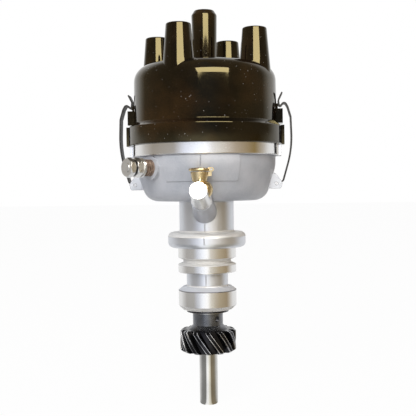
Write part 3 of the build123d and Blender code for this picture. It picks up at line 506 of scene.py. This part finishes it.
def make_floor():
    mesh = bpy.data.meshes.new("floor")
    corners = ((-1, -1), (1, -1), (1, 1), (-1, 1))
    places = [(floor_half * x, floor_half * y, floor_height) for x, y in corners]
    mesh.from_pydata(places, [], [(0, 1, 2, 3)])
    floor = bpy.data.objects.new("floor", mesh)
    scene.collection.objects.link(floor)
    material = bpy.data.materials.new("floor")
    material.use_nodes = True
    tree = material.node_tree
    tree.nodes.clear()
    paper = node(tree, "ShaderNodeBsdfDiffuse", Color=(0.9, 0.9, 0.9, 1))
    white = node(tree, "ShaderNodeEmission", Color=(1, 1, 1, 1), Strength=1.0)
    # Painted reflection: for glossy rays the floor glows in these colours instead of showing paper.
    glossy_glow = node(tree, "ShaderNodeEmission", Strength=1.0)
    tree.links.new(floor_glow_colors(tree), glossy_glow.inputs["Color"])
    share = math_node(tree, "MULTIPLY", light_path(tree, "Is Camera Ray"), floor_white_share)
    lit = mix_shaders(tree, light_path(tree, "Is Glossy Ray", "Is Transmission Ray"), paper, glossy_glow)
    seen = mix_shaders(tree, share, lit, white)
    out = tree.nodes.new("ShaderNodeOutputMaterial")
    tree.links.new(seen.outputs["Shader"], out.inputs["Surface"])
    mesh.materials.append(material)


def around_object(distance, azimuth, elevation):
    a = math.radians(azimuth)
    e = math.radians(elevation)
    return Vector((math.sin(a) * math.cos(e), -math.cos(a) * math.cos(e), math.sin(e))) * distance


def area_light(name, place, width, height, power, color, target):
    light = bpy.data.lights.new(name, "AREA")
    light.shape = "RECTANGLE"
    light.size = width
    light.size_y = height
    light.energy = power
    light.color = color
    lamp = bpy.data.objects.new(name, light)
    scene.collection.objects.link(lamp)
    lamp.location = place
    lamp.rotation_mode = "QUATERNION"
    lamp.rotation_quaternion = (target - place).to_track_quat("-Z", "Y")
    return lamp


def make_lights():
    """The key lamp shows only in reflections; the front lamp gives only diffuse light."""
    target = Vector((0, 0, key_target_height))
    place = target + around_object(key_distance, key_azimuth, key_elevation)
    key = area_light("key", place, key_width, key_height, key_power, key_color, target)
    key.visible_diffuse = False
    place = target + around_object(front_distance, front_azimuth, front_elevation)
    front = area_light("front", place, front_size, front_size, front_power, front_color, target)
    front.visible_glossy = False


def make_camera():
    data = bpy.data.cameras.new("camera")
    data.sensor_width = sensor_width
    data.lens = sensor_width * focal_share
    data.clip_start = 0.01
    camera = bpy.data.objects.new("camera", data)
    scene.collection.objects.link(camera)
    scene.camera = camera
    place = around_object(camera_distance, camera_azimuth, 0)
    place.z = camera_height
    look = around_object(1, camera_azimuth - camera_yaw, camera_pitch)
    turn = (-look).to_track_quat("-Z", "Y").to_matrix().to_4x4()
    roll = Matrix.Rotation(math.radians(camera_roll), 4, "Z")
    camera.matrix_world = Matrix.Translation(place) @ turn @ roll


def parting_line(material):
    """Low ridge left by the two halves of the die, down the front and the back of the casting."""
    housing = nodes["housing"]
    into_housing = housing.matrix_world.inverted()
    mesh = bmesh.new()
    for side in (-1, 1):
        for start, end in seam_heights:
            steps = max(2, round((end - start) / seam_step))
            rows = []
            for i in range(steps + 1):
                height = start + (end - start) * i / steps
                far = into_housing @ Vector((0, side, height))
                hit, place, _, _ = housing.ray_cast(far, into_housing.to_3x3() @ Vector((0, -side, 0)))
                if not hit:
                    continue
                foot = (housing.matrix_world @ place).y - side * seam_sink
                corners = ((-seam_half_width, foot), (0, foot + side * seam_rise), (seam_half_width, foot))
                rows.append([mesh.verts.new((x, y, height)) for x, y in corners])
            for low, high in zip(rows, rows[1:]):
                for a, b in ((0, 1), (1, 2), (2, 0)):
                    mesh.faces.new((low[a], low[b], high[b], high[a]))
            mesh.faces.new(rows[0])
            mesh.faces.new(rows[-1])
    bmesh.ops.recalc_face_normals(mesh, faces=mesh.faces)
    data = bpy.data.meshes.new("parting_line")
    mesh.to_mesh(data)
    data.materials.append(material)
    ridge = bpy.data.objects.new("parting_line", data)
    scene.collection.objects.link(ridge)
    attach(ridge, "housing")


def flexing_leaf():
    """The breaker's leaf spring, held at the strap, turns with the arm past the pivot; here it is copied into
    an object of its own and the part is hidden.
    """
    leaf = bpy.data.objects.new("breaker_leaf", nodes["breaker_spring"].data.copy())
    scene.collection.objects.link(leaf)
    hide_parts("breaker_spring")
    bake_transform(leaf)


def spring_path():
    """Middle of the wire: hook round the yoke's post, coil, hook round the plate's post."""
    up = Vector((0, 0, 1))
    along = (plate_post - yoke_post).normalized()
    across = up.cross(along)
    length = (plate_post - yoke_post).length - 2 * hook_r
    hook_angles = [hook_arc * i / hook_steps for i in range(hook_steps + 1)]
    points = []
    for angle in reversed(hook_angles[1:]):
        around = math.cos(angle) * along - math.sin(angle) * across
        points.append(yoke_post + coil_r * up + hook_r * around)
    for i in range(coil_turns * coil_steps + 1):
        angle = math.tau * i / coil_steps
        reach = hook_r + length * i / (coil_turns * coil_steps)
        points.append(yoke_post + reach * along + coil_r * (math.cos(angle) * up + math.sin(angle) * across))
    for angle in hook_angles[1:]:
        around = math.sin(angle) * across - math.cos(angle) * along
        points.append(plate_post + coil_r * up + hook_r * around)
    return points


def wire_mesh(name, points):
    """Round wire along points."""
    mesh = bmesh.new()
    out = Vector((0, 0, 1))
    rings = []
    for i, place in enumerate(points):
        ahead = (points[min(i + 1, len(points) - 1)] - points[max(i - 1, 0)]).normalized()
        out = (out - out.dot(ahead) * ahead).normalized()
        side = ahead.cross(out)
        ring = []
        for k in range(wire_sides):
            angle = math.tau * k / wire_sides
            ring.append(mesh.verts.new(place + wire_r * (math.cos(angle) * out + math.sin(angle) * side)))
        rings.append(ring)
    for low, high in zip(rings, rings[1:]):
        for k in range(wire_sides):
            mesh.faces.new((low[k - 1], low[k], high[k], high[k - 1]))
    mesh.faces.new(reversed(rings[0]))
    mesh.faces.new(rings[-1])
    bmesh.ops.recalc_face_normals(mesh, faces=mesh.faces)
    data = bpy.data.meshes.new(name)
    mesh.to_mesh(data)
    for face in data.polygons:
        face.use_smooth = True
    return data


def stretching_springs(material):
    """The two advance springs run from the yoke at one end to the plate at the other; here they are built as
    fixed wire meshes in place of the part.
    """
    for name, turn in (("advance_spring_a", 0), ("advance_spring_b", math.pi)):
        spin = Matrix.Rotation(turn, 3, "Z")
        data = wire_mesh(name, [spin @ point for point in spring_path()])
        data.materials.append(material)
        spring = bpy.data.objects.new(name, data)
        scene.collection.objects.link(spring)
        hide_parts("advance_springs")
        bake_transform(spring)


def paint(material, *names):
    for name in names:
        mesh = nodes[name].data
        mesh.materials.clear()
        mesh.materials.append(material)


def paint_nodes():
    casting = cast_aluminium()
    paint(casting, "housing")
    parting_line(casting)
    paint(phenolic(), "cap", "rotor")
    paint(gear_steel(), "drive_gear")
    paint(dark_steel(), "gear_pin", "thrust_washer", "weight_a", "weight_b", "terminal_lock_washer")
    paint(steel("polished_steel", (0.62, 0.61, 0.59), 0.12, 0.26, (300, 300, 8), 1), "shaft", "shim_washer",
          "clip_pins", "oiler_hinge_pin", "breaker_pivot", "weight_pins", "spring_posts", "cam")
    spring_steel = plain("spring_steel", (0.018, 0.017, 0.016), 0.45, 600, 0.2)
    paint(spring_steel, "clip_right", "clip_left", "breaker_arm", "breaker_spring", "cam_retainer")
    flexing_leaf()
    stretching_springs(spring_steel)
    paint(steel("nickel_steel", (0.80, 0.80, 0.79), 0.26, 0.40), "terminal_stud", "terminal_washer",
          "terminal_inner_nut", "terminal_outer_nut")
    paint(steel("zinc_steel", (0.66, 0.66, 0.60), 0.22, 0.4), "breaker_plate", "breaker_plate_screws",
          "fixed_contact", "contact_screw", "condenser", "condenser_bracket", "condenser_screw",
          "advance_plate")
    paint(steel("brass", (0.68, 0.545, 0.32), 0.18, 0.34), "oiler_body", "oiler_lid", "plug_terminals",
          "center_terminal", "primary_strap", "rotor_blade", "rotor_spring")
    paint(steel("bronze", (0.42, 0.28, 0.14), 0.35, 0.5), "upper_bushing", "lower_bushing")
    paint(steel("bright_metal", (0.84, 0.84, 0.84), 0.22, 0.32, None, 2600), "front_stub")
    paint(brown_insulator(), "terminal_insulator", "inner_insulator", "rubbing_block")
    paint(plain("carbon", (0.02, 0.02, 0.02), 0.6), "carbon_button")
    paint(steel("tungsten", (0.5, 0.5, 0.52), 0.2, 0.35), "moving_contact", "fixed_contact_point")
    paint(plain("felt", (0.4, 0.36, 0.29), 0.9, 900), "cam_felt")
    paint(plain("lead_cover", (0.04, 0.04, 0.045), 0.7, 900), "condenser_lead")


make_world()
make_floor()
make_lights()
make_camera()
paint_nodes()
